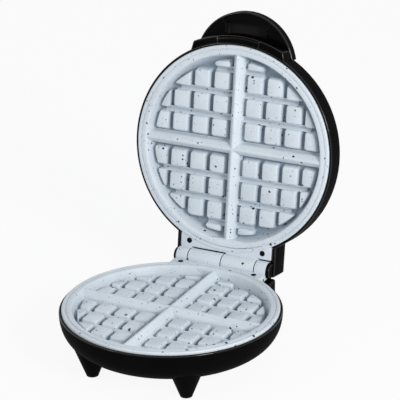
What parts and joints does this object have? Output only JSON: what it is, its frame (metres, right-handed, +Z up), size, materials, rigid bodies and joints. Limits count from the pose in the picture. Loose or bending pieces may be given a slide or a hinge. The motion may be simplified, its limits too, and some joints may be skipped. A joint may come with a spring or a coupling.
{
  "type": "waffle maker",
  "caption": "Round electric waffle maker with hinged lid and cool-touch handle, pale speckled quartered baking plates in a glossy black housing, shown open.",
  "frame": {"origin": "on the worktop below the centre of the round base bowl", "axes": "+Z up, +Y towards the hinge and the cord entry, +X to the right when facing the open plates"},
  "size_m": [0.1948, 0.263, 0.2731],
  "materials": {
    "ceramic_coat": "cast plate with a satin pale blue-grey coat and fine dark specks",
    "black_housing": "deep gloss black moulding",
    "foot_rubber": "matt black",
    "rod_sheath": "heat-darkened tube",
    "ceramic_bead": "white ceramic bead",
    "blade_brass": "plain brass",
    "shield_sheet": "bright pressed sheet",
    "screw_steel": "zinc-plated",
    "pin_steel": "ground steel",
    "gland_plastic": "matt black bush",
    "terminal_nylon": "natural nylon",
    "lead_sleeve": "heat-resistant sleeve",
    "fuse_case": "small plain case",
    "power_red": "translucent red lens",
    "ready_green": "translucent green lens",
    "lamp_glass": "clear glass bulb",
    "holder_plastic": "plain moulding",
    "thermostat_case": "pressed can"
  },
  "bodies": {
    "base": {"base_housing": "black_housing", "base_leads": "lead_sleeve", "base_screws": "screw_steel", "cord_gland": "gland_plastic", "foot_pads": "foot_rubber", "hinge_pin": "pin_steel", "lower_element": "rod_sheath", "lower_element_insulators": "ceramic_bead", "lower_element_terminals": "blade_brass", "lower_heat_shield": "shield_sheet", "lower_lug_screws": "screw_steel", "lower_plate": "ceramic_coat", "lower_shield_screws": "screw_steel", "terminal_block": "terminal_nylon", "terminal_screws": "blade_brass", "thermal_fuse": "fuse_case"},
    "lid": {"front_plate_screw": "screw_steel", "handle_cover": "black_housing", "handle_grip": "black_housing", "handle_screws": "screw_steel", "lamp_holder": "holder_plastic", "lid_housing": "black_housing", "lid_leads": "lead_sleeve", "neon_lamps": "lamp_glass", "power_lamp_lens": "power_red", "ready_lamp_lens": "ready_green", "thermostat": "thermostat_case", "thermostat_screws": "screw_steel", "upper_element": "rod_sheath", "upper_element_insulators": "ceramic_bead", "upper_element_terminals": "blade_brass", "upper_heat_shield": "shield_sheet", "upper_lug_screws": "screw_steel", "upper_plate": "ceramic_coat", "upper_shield_screws": "screw_steel"}
  },
  "joints": [
    {"name": "lid_hinge", "type": "hinge", "parent": "base", "child": "lid", "pos_m": [0, 0.1052, 0.0491], "axis": [1, 0, 0], "range_deg": [0, 98.1]}
  ]
}
